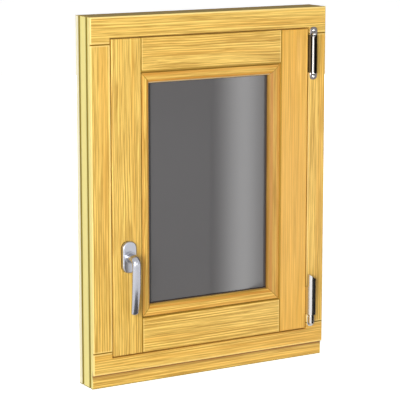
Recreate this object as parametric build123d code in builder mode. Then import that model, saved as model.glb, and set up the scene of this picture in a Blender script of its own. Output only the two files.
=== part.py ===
from build123d import *
import os
from math import cos, radians, tan

# A single-sash pine window: a glued three-layer frame, a flush sash with a glazing unit, a lever
# handle on the left stile and two surface hinges on the right.
#
# X runs along the width, +Y from the room to the outside, +Z up, in millimetres. The origin is in
# the middle of the frame's underside, halfway through its depth. The sash stands closed.


# Frame: outer size, and the timber sizes that show on its faces
frame_width = 575.0
frame_height = 780.0
frame_depth = 68.0
member_face = 57.0  # head and jambs, from the outer edge to the joint line on the room face
bottom_face = 47.0  # bottom rail, from its step to the joint line on the room face
lip_face = 76.0  # head and jambs on the outside, from the outer edge to the lip's edge
cheek = 18.0  # outer layers of the timber, and the cheeks of the corner joints
step_height = 30.0  # foot of the bottom rail that the window board meets
step_recess = 7.0
arris = 2.0  # rounding of the frame's long edges
groove_width = 5.0
groove_depth = 5.0
vee_width = 3.0  # V-groove along each corner joint
vee_depth = 2.5

# Sash: its flush overlap leaf, its body in the frame's rebate, and its rails
leaf_overlap = 10.5  # how far the sash covers the frame past the joint line
leaf_gap = 3.0  # shadow gap around the sash on the room face
leaf_thickness = 17.0
leaf_clearance = 1.0  # behind the leaf, to the floor of its rebate
sash_proud = 2.0  # how far the sash stands in front of the frame
sash_setback = 4.0  # how far the sash's outside face lies behind the frame's
stile_face = 69.0
top_rail_face = 72.0
bottom_rail_face = 75.0
sash_cheek = 5.0  # between the slot and the sash's steps, front and back
body_gap = 9.0  # fittings channel between the frame and the sash body
lip_gap = 4.0  # gap around the sash on the outside
seal_thickness = 3.0
seal_width = 8.0
seal_inset = 1.0  # between the sash body's edge and the weather seal
sash_arris = 2.5
drip_width = 5.0
drip_depth = 3.0

# Glazing: two panes, edge spacer, wet seals and the four mitred beads
bead_width = 24.0
bead_recess = 4.0  # bead face behind the sash face
bead_flat = 7.0  # from the quirk to where the ovolo starts
bead_nose = 5.0  # height of the bead's edge over the glass
ovolo_bulge = (0.72, 0.38)  # where the ovolo's middle lies, as shares of its width and its fall
quirk_width = 2.0  # groove between the bead and the sash
quirk_depth = 5.0
pane_thickness = 4.0
pane_gap = 16.0
pane_clearance = 5.0
glazing_seal = 3.0
seal_sight = 1.5  # how far the glazing seals show past the bead
spacer_sight = 3.0
seal_bed = 10.0
glazing_lip_arris = 4.0
lip_slope = 15.0  # degrees, on the bottom rail's outside lip

# Rain rail, an aluminium section on the outside of the bottom rail
rail_wall = 2.0
rail_slope = 14.0  # degrees
rail_nose = 9.0  # how far it reaches past the frame's outside face
rail_drip = 10.0
rail_cap = 3.0
bottom_shoulder = 6.0  # wood under the rain rail, above the joint line

# Handle, in the middle of the left stile
handle_height = 278.0  # spindle above the frame's underside
rosette_width = 32.0
rosette_length = 67.0
rosette_corner = 15.0
rosette_thickness = 10.0
rosette_edge = 3.0
collar_diameter = 25.0
collar_length = 4.0
collar_edge = 0.8
neck_diameter = 19.0
neck_length = 24.0  # from the stile to where the lever bends down
bend_radius = 14.0
grip_width = 19.5
grip_thickness = 12.0
grip_end_width = 16.5
grip_end_thickness = 10.0
grip_length = 101.0  # from the bend to the lever's end
grip_tuck = 9.0  # how far the end comes back towards the sash
grip_end_round = 3.5
lever_steps = 15  # sections along the lever
spindle_play = 0.4  # between the collar and the lever's neck

# Hinges, both on one upright axis in front of the right jamb
hinge_inset = 36.5  # axis from the frame's right edge
hinge_plate_inset = 32.5  # middle of the plates from the same edge
hinge_plate_thickness = 3.0
hinge_plate_width = 18.0
hinge_plate_corner = 8.0
pin_diameter = 7.0
pin_play = 0.1
knuckle_gap = 0.4
knuckle_diameter = 13.0
knuckle_web = 9.0  # block that joins a knuckle to its plate
strap_thickness = 2.0
upper_hinge_drop = 43.0  # from the frame's top to the plate's top
upper_plate_length = 115.0
upper_barrel_length = 83.0
pin_head = 2.5
pin_head_step = 1.0  # how much smaller than the knuckles its radius is
lower_foot_bottom = 69.0
lower_foot_length = 30.0
bearing_height = 16.0
bearing_rise = 10.0  # from the foot's bottom to the bearing
cover_diameter = 19.0
cover_lift = 3.0  # from the bearing to the cover
cover_length = 92.0
cover_slope = 35.0  # degrees, on the top of the cover
cover_strap_drop = 28.5  # from the cover's top to its strap's top
cover_pin_reach = 40.0  # how far the pin stands up inside the cover

# Places worked out from the sizes above
left = -frame_width / 2
room_y = -frame_depth / 2
outside_y = frame_depth / 2
tenon_front = room_y + cheek
tenon_back = outside_y - cheek
bottom_top = step_height + bottom_face
bottom_shift = bottom_top - member_face  # the bottom rail stands this much higher than the head
opening_z = (frame_height + bottom_shift) / 2
sash_edge = member_face - leaf_overlap
sash_front = room_y - sash_proud
leaf_back = sash_front + leaf_thickness
leaf_floor = leaf_back + leaf_clearance
sash_step = tenon_back - seal_thickness
sash_back = outside_y - sash_setback
sash_tenon_front = leaf_back + sash_cheek
sash_tenon_back = sash_step - sash_cheek
sash_body_edge = member_face + body_gap
sash_outer_edge = lip_face + lip_gap
sash_top = frame_height - sash_edge
sash_bottom = sash_edge + bottom_shift
rebate_left = left + sash_edge + stile_face
rebate_top = sash_top - top_rail_face
rebate_bottom = sash_bottom + bottom_rail_face
rebate_width = -2 * rebate_left
rebate_height = rebate_top - rebate_bottom
rebate_z = (rebate_top + rebate_bottom) / 2
glass_back = sash_step - glazing_seal
outer_pane_front = glass_back - pane_thickness
inner_pane_back = outer_pane_front - pane_gap
glass_front = inner_pane_back - pane_thickness
bead_back = glass_front - glazing_seal
bead_front = sash_front + bead_recess
handle_x = left + sash_edge + stile_face / 2
hinge_x = -left - hinge_inset
plate_x = -left - hinge_plate_inset
leaf_edge = -left - sash_edge
plate_front = room_y - hinge_plate_thickness
hinge_y = plate_front - knuckle_gap - knuckle_diameter / 2
pin_hole = pin_diameter + 2 * pin_play
upper_plate_top = frame_height - upper_hinge_drop
upper_middle = upper_plate_top - upper_plate_length / 2
barrel_bottom = upper_middle - upper_barrel_length / 2
knuckle_height = upper_barrel_length / 4
bearing_bottom = lower_foot_bottom + bearing_rise
bearing_top = bearing_bottom + bearing_height
cover_bottom = bearing_top + cover_lift
cover_top = cover_bottom + cover_length


def inset_size(inset):
    """Size of the rectangle that lies this far inside the frame's head and jambs."""
    return frame_width - 2 * inset, frame_height - bottom_shift - 2 * inset


def panel(size, centre_z, depth, hole=None):
    """A rectangle across the window at one depth, or a ring where it has a hole."""
    with BuildSketch(Plane.XZ.offset(-depth)) as drawn:
        with Locations((0, centre_z)):
            Rectangle(*size)
            if hole:
                Rectangle(*hole, mode=Mode.SUBTRACT)
    return drawn.sketch


def outline(plane, points, rounded=(), radius=0.0):
    """A closed outline through these points, with some of its corners rounded."""
    with BuildSketch(plane) as drawn:
        with BuildLine():
            Polyline(*points, close=True)
        make_face()
        corners = [v for v in drawn.vertices() for order in rounded if near(v, points[order])]
        if corners:
            fillet(corners, radius)
    return drawn.sketch


def near(vertex, point):
    """Whether a sketch's corner lies at this point of its plane."""
    return abs(vertex.X - point[0]) + abs(vertex.Y - point[1]) < 1e-3


# Frame blank: the glued-up frame's outer shape, with the rebate that takes the sash's leaf
with BuildPart() as frame_blank:
    with Locations((0, 0, frame_height / 2)):
        Box(frame_width, frame_depth, frame_height)
    with Locations((0, room_y, 0)):
        Box(frame_width, 2 * step_recess, 2 * step_height, mode=Mode.SUBTRACT)
    fillet(frame_blank.edges().group_by(Axis.Y)[0], arris)
    fillet(frame_blank.edges().group_by(Axis.Y)[-1], arris)
    leaf_rebate = panel(inset_size(sash_edge - leaf_gap), opening_z, leaf_floor)
    extrude(leaf_rebate, amount=leaf_floor - room_y, mode=Mode.SUBTRACT)
    for depth in (tenon_front, tenon_back):
        groove = panel(
            (frame_width, 2 * frame_height),
            0,
            depth + groove_width / 2,
            hole=(frame_width - 2 * groove_depth, 2 * (frame_height - groove_depth)),
        )
        extrude(groove, amount=groove_width, mode=Mode.SUBTRACT)
    with BuildSketch(Plane.YZ):
        for joint_z in (frame_height - member_face, bottom_top):
            with BuildLine():
                Polyline(
                    (room_y, joint_z - vee_width / 2),
                    (room_y + vee_depth, joint_z),
                    (room_y, joint_z + vee_width / 2),
                    close=True,
                )
            make_face()
    extrude(amount=frame_width / 2, both=True, mode=Mode.SUBTRACT)

# Head: its cheeks run over the jambs and its middle layer stops between them
head_section = [
    (room_y, frame_height),
    (room_y, frame_height - member_face),
    (tenon_back, frame_height - member_face),
    (tenon_back, frame_height - lip_face),
    (outside_y, frame_height - lip_face),
    (outside_y, frame_height),
]
tenon_middle = (tenon_front + tenon_back) / 2
with BuildPart() as frame_head:
    extrude(outline(Plane.YZ, head_section, (4,), arris), amount=frame_width / 2, both=True)
    with Locations((left, tenon_middle, frame_height), (-left, tenon_middle, frame_height)):
        Box(2 * member_face, tenon_back - tenon_front, 2 * lip_face, mode=Mode.SUBTRACT)
    add(frame_blank.part, mode=Mode.INTERSECT)
frame_head.part.label = "frame_head"

# Bottom rail: stepped back at its foot, with a weathered shoulder under the rain rail
shoulder_fall = (cheek - rail_wall) * tan(radians(rail_slope))
shoulder_top = bottom_top + bottom_shoulder
bottom_section = [
    (room_y + step_recess, 0),
    (room_y + step_recess, step_height),
    (room_y, step_height),
    (room_y, bottom_top),
    (tenon_back + rail_wall, bottom_top),
    (tenon_back + rail_wall, shoulder_top),
    (outside_y, shoulder_top - shoulder_fall),
    (outside_y, 0),
]
with BuildPart() as frame_bottom_rail:
    extrude(outline(Plane.YZ, bottom_section), amount=frame_width / 2, both=True)
    with Locations((left, tenon_middle, 0), (-left, tenon_middle, 0)):
        Box(2 * member_face, tenon_back - tenon_front, 2 * bottom_top, mode=Mode.SUBTRACT)
    add(frame_blank.part, mode=Mode.INTERSECT)
frame_bottom_rail.part.label = "frame_bottom_rail"

# Jambs: tenons from the underside to the top, with shoulders scribed to the head and bottom rail
jamb_section = [
    (left, room_y),
    (left + member_face, room_y),
    (left + member_face, tenon_back),
    (left + lip_face, tenon_back),
    (left + lip_face, outside_y),
    (left, outside_y),
]
with BuildPart() as frame_left_jamb:
    extrude(outline(Plane.XY, jamb_section, (4,), arris), amount=frame_height)
    add(frame_blank.part, mode=Mode.INTERSECT)
    add(frame_head.part, mode=Mode.SUBTRACT)
    add(frame_bottom_rail.part, mode=Mode.SUBTRACT)
frame_left_jamb.part.label = "frame_left_jamb"

with BuildPart() as frame_right_jamb:
    mirror(frame_left_jamb.part, about=Plane.YZ)
frame_right_jamb.part.label = "frame_right_jamb"

# Rain rail: a standing web behind a sloped apron with a drip nose, between two end caps
apron_reach = outside_y + rail_nose - tenon_back - rail_wall
apron_fall = apron_reach * tan(radians(rail_slope))
rail_skin = rail_wall / cos(radians(rail_slope))
rail_section = [
    (tenon_back, bottom_top),
    (tenon_back, lip_face + bottom_shift),
    (tenon_back + rail_wall, lip_face + bottom_shift),
    (tenon_back + rail_wall, shoulder_top + rail_skin),
    (outside_y + rail_nose, shoulder_top + rail_skin - apron_fall),
    (outside_y + rail_nose, shoulder_top - apron_fall - rail_drip),
    (outside_y + rail_nose - rail_wall, shoulder_top - apron_fall - rail_drip),
    (outside_y + rail_nose - rail_wall, shoulder_top - apron_fall + rail_wall * tan(radians(rail_slope))),
    (tenon_back + rail_wall, shoulder_top),
    (tenon_back + rail_wall, bottom_top),
]
rail_length = frame_width - 2 * lip_face - 2 * rail_cap
with BuildPart() as rain_rail:
    extrude(outline(Plane.YZ, rail_section), amount=rail_length / 2, both=True)
rain_rail.part.label = "rain_rail"

cap_section = [
    (tenon_back, bottom_top),
    (tenon_back, lip_face + bottom_shift),
    (tenon_back + rail_wall, lip_face + bottom_shift),
    (outside_y + rail_nose, shoulder_top + rail_skin - apron_fall + rail_wall),
    (outside_y + rail_nose, shoulder_top - apron_fall - rail_drip),
    (outside_y, shoulder_top - apron_fall - rail_drip),
    (outside_y, shoulder_top - shoulder_fall),
    (tenon_back + rail_wall, shoulder_top),
    (tenon_back + rail_wall, bottom_top),
]
with BuildPart() as rain_rail_left_cap:
    extrude(outline(Plane.YZ.offset(left + lip_face), cap_section), amount=rail_cap)
rain_rail_left_cap.part.label = "rain_rail_left_cap"

with BuildPart() as rain_rail_right_cap:
    mirror(rain_rail_left_cap.part, about=Plane.YZ)
rain_rail_right_cap.part.label = "rain_rail_right_cap"

# Weather seal, between the frame's lip and the step behind the sash
seal_outer = sash_body_edge + seal_inset
with BuildPart() as weather_seal:
    seal_ring = panel(inset_size(seal_outer), opening_z, tenon_back, hole=inset_size(seal_outer + seal_width))
    extrude(seal_ring, amount=seal_thickness)
weather_seal.part.label = "weather_seal"

# Sash blank: the glued-up sash's outer shape, stepped three times into the frame
with BuildPart() as sash_blank:
    extrude(panel(inset_size(sash_edge), opening_z, leaf_back), amount=leaf_thickness)
    fillet(sash_blank.edges().group_by(Axis.Y)[0], sash_arris)
    extrude(panel(inset_size(sash_body_edge), opening_z, sash_step), amount=sash_step - leaf_back)
    extrude(panel(inset_size(sash_outer_edge), opening_z, sash_back), amount=sash_back - sash_step)
    fillet(sash_blank.edges().group_by(Axis.Y)[-1], sash_arris)
    with BuildSketch(Plane.XY):
        for joint_x in (rebate_left, -rebate_left):
            with BuildLine():
                Polyline(
                    (joint_x - vee_width / 2, sash_front),
                    (joint_x, sash_front + vee_depth),
                    (joint_x + vee_width / 2, sash_front),
                    close=True,
                )
            make_face()
    extrude(amount=frame_height, mode=Mode.SUBTRACT)

# Stiles: full height, rebated for the glazing unit
stile_section = [
    (left + sash_edge, sash_front),
    (rebate_left, sash_front),
    (rebate_left, sash_step),
    (rebate_left + bead_width, sash_step),
    (rebate_left + bead_width, sash_back),
    (left + sash_outer_edge, sash_back),
    (left + sash_outer_edge, sash_step),
    (left + sash_body_edge, sash_step),
    (left + sash_body_edge, leaf_back),
    (left + sash_edge, leaf_back),
]
slot_size = (2 * (rebate_left + bead_width - left), sash_tenon_back - sash_tenon_front, frame_height)
slot_middle = (sash_tenon_front + sash_tenon_back) / 2
with BuildPart() as sash_left_stile:
    extrude(outline(Plane.XY, stile_section, (4,), glazing_lip_arris), amount=frame_height)
    add(sash_blank.part, mode=Mode.INTERSECT)
    with Locations(
        (left, slot_middle, rebate_top + frame_height / 2),
        (left, slot_middle, rebate_bottom - frame_height / 2),
    ):
        Box(*slot_size, mode=Mode.SUBTRACT)
sash_left_stile.part.label = "sash_left_stile"

with BuildPart() as sash_right_stile:
    mirror(sash_left_stile.part, about=Plane.YZ)
sash_right_stile.part.label = "sash_right_stile"

# Rails: between the stiles and scribed to them, with a tenon through each slot
with BuildPart() as sash_top_rail:
    top_rail_section = [
        (sash_front, frame_height),
        (sash_front, rebate_top + vee_width / 2),
        (sash_front + vee_depth, rebate_top),
        (sash_step, rebate_top),
        (sash_step, rebate_top - bead_width),
        (sash_back, rebate_top - bead_width),
        (sash_back, frame_height),
    ]
    top_rail_outline = outline(Plane.YZ, top_rail_section, (5,), glazing_lip_arris)
    extrude(top_rail_outline, amount=frame_width / 2, both=True)
    add(sash_blank.part, mode=Mode.INTERSECT)
    add(sash_left_stile.part, mode=Mode.SUBTRACT)
    add(sash_right_stile.part, mode=Mode.SUBTRACT)
sash_top_rail.part.label = "sash_top_rail"

# The bottom rail has a weathered lip outside, with a drip groove under it
lip_fall = (sash_back - sash_step) * tan(radians(lip_slope))
with BuildPart() as sash_bottom_rail:
    bottom_rail_section = [
        (sash_front, 0),
        (sash_front, rebate_bottom - vee_width / 2),
        (sash_front + vee_depth, rebate_bottom),
        (sash_step, rebate_bottom),
        (sash_step, rebate_bottom + bead_width),
        (sash_back, rebate_bottom + bead_width - lip_fall),
        (sash_back, 0),
    ]
    bottom_rail_outline = outline(Plane.YZ, bottom_rail_section, (5,), glazing_lip_arris)
    extrude(bottom_rail_outline, amount=frame_width / 2, both=True)
    add(sash_blank.part, mode=Mode.INTERSECT)
    add(sash_left_stile.part, mode=Mode.SUBTRACT)
    add(sash_right_stile.part, mode=Mode.SUBTRACT)
    with Locations((0, sash_back - 2 * drip_width, lip_face + bottom_shift + lip_gap)):
        Box(rebate_width, drip_width, 2 * drip_depth, mode=Mode.SUBTRACT)
sash_bottom_rail.part.label = "sash_bottom_rail"

# Beads: an ovolo from the flat down to the nose, mitred at both ends
bead_depth = bead_back - bead_front
bead_fall = bead_depth - bead_nose
ovolo_start = quirk_width + bead_flat
ovolo_width = bead_width - ovolo_start
bead_profile = [
    (quirk_width, 0),
    (ovolo_start, 0),
    (ovolo_start + ovolo_width * ovolo_bulge[0], bead_fall * ovolo_bulge[1]),
    (bead_width, bead_fall),
]


def mitred_bead(length):
    """A straight bead along X, its glass edge towards -Z, with mitred ends."""
    edge = [(bead_front + deep, -wide) for wide, deep in bead_profile]
    with BuildPart() as straight:
        with BuildSketch(Plane.YZ):
            with BuildLine():
                Line(edge[0], edge[1])
                ThreePointArc(edge[1], edge[2], edge[3])
                Polyline(
                    edge[3],
                    (bead_back, -bead_width),
                    (bead_back, 0),
                    (bead_front + quirk_depth, 0),
                    (bead_front + quirk_depth, -quirk_width),
                    edge[0],
                )
            make_face()
        extrude(amount=length / 2, both=True)
        for side in (-1, 1):
            mitre = [
                (side * length / 2, 0),
                (side * (length / 2 - 2 * bead_width), -2 * bead_width),
                (side * length / 2, -2 * bead_width),
            ]
            extrude(outline(Plane.XZ, mitre), amount=frame_depth, both=True, mode=Mode.SUBTRACT)
    return straight.part


bead_places = {
    "bead_top": (rebate_width, Location((0, 0, rebate_top))),
    "bead_bottom": (rebate_width, Location((0, 0, rebate_bottom), (0, 180, 0))),
    "bead_left": (rebate_height, Location((rebate_left, 0, rebate_z), (0, -90, 0))),
    "bead_right": (rebate_height, Location((-rebate_left, 0, rebate_z), (0, 90, 0))),
}
beads = []
for bead_name, (bead_length, bead_place) in bead_places.items():
    straight_bead = mitred_bead(bead_length)
    with BuildPart() as bead:
        add(straight_bead.moved(bead_place))
    bead.part.label = bead_name
    beads.append(bead)

# Glazing unit: two panes with a spacer frame between them, seen past the beads
unit_size = (rebate_width - 2 * pane_clearance, rebate_height - 2 * pane_clearance)
with BuildPart() as inner_pane:
    extrude(panel(unit_size, rebate_z, inner_pane_back), amount=pane_thickness)
inner_pane.part.label = "inner_pane"

with BuildPart() as outer_pane:
    extrude(panel(unit_size, rebate_z, glass_back), amount=pane_thickness)
outer_pane.part.label = "outer_pane"

sight_size = (rebate_width - 2 * bead_width, rebate_height - 2 * bead_width)
spacer_size = (sight_size[0] - 2 * spacer_sight, sight_size[1] - 2 * spacer_sight)
with BuildPart() as edge_spacer:
    extrude(panel(unit_size, rebate_z, outer_pane_front, hole=spacer_size), amount=pane_gap)
edge_spacer.part.label = "edge_spacer"

seal_size = (sight_size[0] - 2 * seal_sight, sight_size[1] - 2 * seal_sight)
seal_back_size = (sight_size[0] + 2 * seal_bed, sight_size[1] + 2 * seal_bed)
with BuildPart() as inner_glazing_seal:
    extrude(panel(seal_back_size, rebate_z, glass_front, hole=seal_size), amount=glazing_seal)
inner_glazing_seal.part.label = "inner_glazing_seal"

with BuildPart() as outer_glazing_seal:
    extrude(panel(seal_back_size, rebate_z, sash_step, hole=seal_size), amount=glazing_seal)
outer_glazing_seal.part.label = "outer_glazing_seal"

# Handle rosette: a rounded plate on the stile with the collar that the lever turns in
rosette_front = sash_front - rosette_thickness
collar_front = rosette_front - collar_length
with BuildPart() as handle_rosette:
    with BuildSketch(Plane.XZ.offset(-sash_front)):
        with Locations((handle_x, handle_height)):
            RectangleRounded(rosette_width, rosette_length, rosette_corner)
    extrude(amount=rosette_thickness)
    fillet(handle_rosette.edges().group_by(Axis.Y)[0], rosette_edge)
    with BuildSketch(Plane.XZ.offset(-rosette_front)):
        with Locations((handle_x, handle_height)):
            Circle(collar_diameter / 2)
    extrude(amount=collar_length)
    chamfer(handle_rosette.edges().group_by(Axis.Y)[0], collar_edge)
handle_rosette.part.label = "handle_rosette"

# Handle lever: one bowed loft from the neck down to the rounded end
lever_root = collar_front - spindle_play
neck_end = sash_front - neck_length
grip_y = neck_end - bend_radius
grip_start = handle_height - bend_radius
with BuildLine(Plane.YZ.offset(handle_x)) as lever_line:
    Line((lever_root, handle_height), (neck_end, handle_height))
    JernArc((neck_end, handle_height), tangent=(-1, 0), radius=bend_radius, arc_size=90)
    ThreePointArc(
        (grip_y, grip_start),
        (grip_y + grip_tuck / 4, grip_start - grip_length / 2),
        (grip_y + grip_tuck, grip_start - grip_length),
    )
lever_path = lever_line.wires()[0]
lever_sizes = [
    (0.0, neck_diameter, neck_diameter),
    (0.12, neck_diameter, neck_diameter),
    (0.28, grip_width, grip_thickness),
    (0.6, grip_width, grip_thickness),
    (1.0, grip_end_width, grip_end_thickness),
]
tip_rounding = [(0, 1.0), (0.4, 0.92), (0.75, 0.74), (1.0, 0.45)]  # reach and size, as shares


def lever_size(along):
    """Width and thickness of the lever this far along its line, between the sizes listed above."""
    for (start, *first), (end, *last) in zip(lever_sizes, lever_sizes[1:]):
        if along <= end:
            part_way = (along - start) / (end - start)
            return [a + part_way * (b - a) for a, b in zip(first, last)]
    return last


with BuildPart() as handle_lever:
    for step in range(lever_steps + 1):
        along = step / lever_steps
        wide, thick = lever_size(along)
        with BuildSketch(Plane(lever_path @ along, x_dir=(1, 0, 0), z_dir=lever_path % along)):
            Ellipse(wide / 2, thick / 2)
    loft()
    tip = Plane(lever_path @ 1, x_dir=(1, 0, 0), z_dir=lever_path % 1)
    for beyond, share in tip_rounding:
        with BuildSketch(tip.offset(beyond * grip_end_round)):
            Ellipse(grip_end_width / 2 * share, grip_end_thickness / 2 * share)
    loft(ruled=True)
handle_lever.part.label = "handle_lever"


def disc(diameter, bottom):
    """A circle round the hinges' axis."""
    with BuildSketch(Plane.XY.offset(bottom)) as drawn:
        with Locations((hinge_x, hinge_y)):
            Circle(diameter / 2)
    return drawn.sketch


def web(bottom):
    """The section of the block between a knuckle and its plate."""
    with BuildSketch(Plane.XY.offset(bottom)) as drawn:
        with Locations((hinge_x, (hinge_y + room_y) / 2)):
            Rectangle(knuckle_web, room_y - hinge_y)
    return drawn.sketch


def strap(bottom):
    """The section of a strap from the pin's axis to the sash and back along its leaf's edge."""
    corners = [
        (hinge_x, hinge_y - strap_thickness),
        (leaf_edge, hinge_y - strap_thickness),
        (leaf_edge, leaf_back - strap_thickness),
        (leaf_edge + strap_thickness, leaf_back - strap_thickness),
        (leaf_edge + strap_thickness, hinge_y),
        (hinge_x, hinge_y),
    ]
    return outline(Plane.XY.offset(bottom), corners)


def plate(bottom, top):
    """The outline of a hinge plate with rounded ends, on the jamb's face."""
    with BuildSketch(Plane.XZ.offset(-room_y)) as drawn:
        with Locations((plate_x, (bottom + top) / 2)):
            RectangleRounded(hinge_plate_width, top - bottom, hinge_plate_corner)
    return drawn.sketch


# Upper hinge: a plate on the jamb and a strap on the sash, with two knuckles each
barrel_top = barrel_bottom + upper_barrel_length
knuckle_length = knuckle_height - knuckle_gap
knuckle_bottoms = [barrel_bottom + order * knuckle_height + knuckle_gap / 2 for order in range(4)]
plate_edge = hinge_plate_thickness / 4
with BuildPart() as upper_hinge_plate:
    extrude(plate(upper_plate_top - upper_plate_length, upper_plate_top), amount=hinge_plate_thickness)
    chamfer(upper_hinge_plate.faces().sort_by(Axis.Y)[0].edges(), plate_edge)
    for low in knuckle_bottoms[1::2]:
        extrude(disc(knuckle_diameter, low), amount=knuckle_length)
        extrude(web(low), amount=knuckle_length)
    extrude(disc(pin_hole, barrel_bottom), amount=upper_barrel_length, mode=Mode.SUBTRACT)
upper_hinge_plate.part.label = "upper_hinge_plate"

with BuildPart() as upper_hinge_strap:
    extrude(strap(knuckle_bottoms[0]), amount=upper_barrel_length - knuckle_gap)
    for low in knuckle_bottoms[1::2]:
        room_for_knuckle = disc(knuckle_diameter + 2 * knuckle_gap, low - knuckle_gap)
        extrude(room_for_knuckle, amount=knuckle_length + 2 * knuckle_gap, mode=Mode.SUBTRACT)
    for low in knuckle_bottoms[0::2]:
        extrude(disc(knuckle_diameter, low), amount=knuckle_length)
    extrude(disc(pin_hole, barrel_bottom), amount=upper_barrel_length, mode=Mode.SUBTRACT)
upper_hinge_strap.part.label = "upper_hinge_strap"

head_diameter = knuckle_diameter - 2 * pin_head_step
with BuildPart() as upper_hinge_pin:
    extrude(disc(pin_diameter, barrel_bottom), amount=upper_barrel_length)
    for head_bottom in (barrel_bottom - pin_head, barrel_top):
        extrude(disc(head_diameter, head_bottom), amount=pin_head)
    chamfer(upper_hinge_pin.edges().group_by(Axis.Z)[0], pin_head / 2)
    chamfer(upper_hinge_pin.edges().group_by(Axis.Z)[-1], pin_head / 2)
upper_hinge_pin.part.label = "upper_hinge_pin"

# Lower hinge: a foot with a bearing on the jamb, its pin, and a long cover on the sash's strap
with BuildPart() as lower_hinge_foot:
    extrude(plate(lower_foot_bottom, lower_foot_bottom + lower_foot_length), amount=hinge_plate_thickness)
    chamfer(lower_hinge_foot.faces().sort_by(Axis.Y)[0].edges(), plate_edge)
    extrude(disc(knuckle_diameter, bearing_bottom), amount=bearing_height)
    extrude(web(bearing_bottom), amount=bearing_height)
    extrude(disc(pin_hole, bearing_bottom), amount=bearing_height, mode=Mode.SUBTRACT)
lower_hinge_foot.part.label = "lower_hinge_foot"

slope_drop = cover_diameter * tan(radians(cover_slope))
slope_section = [
    (hinge_x - cover_diameter / 2, cover_top),
    (hinge_x + cover_diameter / 2, cover_top - slope_drop),
    (hinge_x + cover_diameter / 2, cover_top),
]
with BuildPart() as lower_hinge_cover:
    extrude(disc(cover_diameter, cover_bottom), amount=cover_length)
    extrude(strap(cover_bottom), amount=cover_length - cover_strap_drop)
    extrude(outline(Plane.XZ, slope_section), amount=frame_depth, both=True, mode=Mode.SUBTRACT)
    with Locations((hinge_x, plate_front - knuckle_gap + frame_depth / 2, (cover_bottom + cover_top) / 2)):
        Box(cover_diameter, frame_depth, cover_length, mode=Mode.SUBTRACT)
    extrude(disc(pin_hole, cover_bottom), amount=cover_pin_reach + pin_play, mode=Mode.SUBTRACT)
lower_hinge_cover.part.label = "lower_hinge_cover"

with BuildPart() as lower_hinge_pin:
    extrude(disc(pin_diameter, bearing_bottom), amount=cover_bottom + cover_pin_reach - bearing_bottom)
    extrude(disc(head_diameter, bearing_bottom - pin_head), amount=pin_head)
    extrude(disc(head_diameter, bearing_top), amount=cover_lift - knuckle_gap)
    chamfer(lower_hinge_pin.edges().group_by(Axis.Z)[0], pin_head / 2)
lower_hinge_pin.part.label = "lower_hinge_pin"

timber = [
    frame_head,
    frame_bottom_rail,
    frame_left_jamb,
    frame_right_jamb,
    sash_left_stile,
    sash_right_stile,
    sash_top_rail,
    sash_bottom_rail,
]
glazing = [inner_pane, outer_pane, edge_spacer, inner_glazing_seal, outer_glazing_seal, weather_seal]
rail_pieces = [rain_rail, rain_rail_left_cap, rain_rail_right_cap]
handle_pieces = [handle_rosette, handle_lever]
upper_hinge = [upper_hinge_plate, upper_hinge_strap, upper_hinge_pin]
lower_hinge = [lower_hinge_foot, lower_hinge_cover, lower_hinge_pin]

os.makedirs("parts", exist_ok=True)
for piece in timber + beads + glazing + rail_pieces + handle_pieces + upper_hinge + lower_hinge:
    export_step(piece.part, "parts/" + piece.part.label + ".step")
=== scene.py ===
from math import pi, radians

import bmesh
import bpy
from bpy.props import FloatProperty, FloatVectorProperty, PointerProperty
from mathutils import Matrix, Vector


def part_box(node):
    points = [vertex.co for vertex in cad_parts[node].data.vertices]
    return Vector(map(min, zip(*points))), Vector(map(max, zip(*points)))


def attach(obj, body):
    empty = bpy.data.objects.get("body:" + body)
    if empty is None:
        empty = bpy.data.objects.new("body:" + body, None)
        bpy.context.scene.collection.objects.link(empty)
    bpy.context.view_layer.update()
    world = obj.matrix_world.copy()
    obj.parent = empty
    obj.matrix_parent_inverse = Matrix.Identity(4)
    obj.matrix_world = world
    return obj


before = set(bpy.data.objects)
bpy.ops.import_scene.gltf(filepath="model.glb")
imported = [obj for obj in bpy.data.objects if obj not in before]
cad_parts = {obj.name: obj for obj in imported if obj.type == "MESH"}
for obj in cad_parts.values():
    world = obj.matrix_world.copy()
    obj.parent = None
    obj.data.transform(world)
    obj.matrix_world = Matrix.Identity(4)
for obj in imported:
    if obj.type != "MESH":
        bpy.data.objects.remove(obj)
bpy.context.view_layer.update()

bl_info = {
    "name": "Pine window",
    "version": (1, 0, 0),
    "blender": (4, 5, 0),
    "location": "View3D > Sidebar > Window",
    "description": "Finishes a single-sash pine window with its glazing, handle and hinges",
    "category": "Object",
}

MM = 0.001

# Faces, edges and joints of the timber
FRAME_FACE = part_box("frame_head")[0].y
FRAME_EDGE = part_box("frame_head")[1].x
FRAME_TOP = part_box("frame_head")[1].z
SASH_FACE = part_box("sash_left_stile")[0].y
SASH_EDGE = -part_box("sash_left_stile")[0].x
SASH_JOINT = -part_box("bead_top")[0].x
BEAD_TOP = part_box("bead_top")[1].z
BEAD_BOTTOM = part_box("bead_bottom")[0].z
BEAD_MIDDLE = (BEAD_TOP + BEAD_BOTTOM) / 2
BEAD_HALF_HEIGHT = (BEAD_TOP - BEAD_BOTTOM) / 2

# Shoulders between the jambs and the rails, on the room face
JOINT_HEIGHTS = (77 * MM, FRAME_TOP - 57 * MM)

# The frame is glued from layers of 18, 32 and 18 mm, with its joints this far from the middle
LAYER_JOINT = 16 * MM

# The foot of the bottom rail stands back under a step
STEP_HEIGHT = 30 * MM
FOOT_FACE = FRAME_FACE + 7 * MM

# The upper hinge's plate, with a screw at each end
PLATE_THICKNESS = 3 * MM
SCREW_INSET = 8 * MM
SCREW_LINE = 9 * MM

# Clear glass inside the sealant, which shows most at the left and the bottom
CLEAR_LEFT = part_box("bead_left")[1].x + 9 * MM
CLEAR_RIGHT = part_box("bead_right")[0].x - 1 * MM
CLEAR_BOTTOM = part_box("bead_bottom")[1].z + 3 * MM
CLEAR_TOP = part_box("bead_top")[0].z - 0.5 * MM


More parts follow.
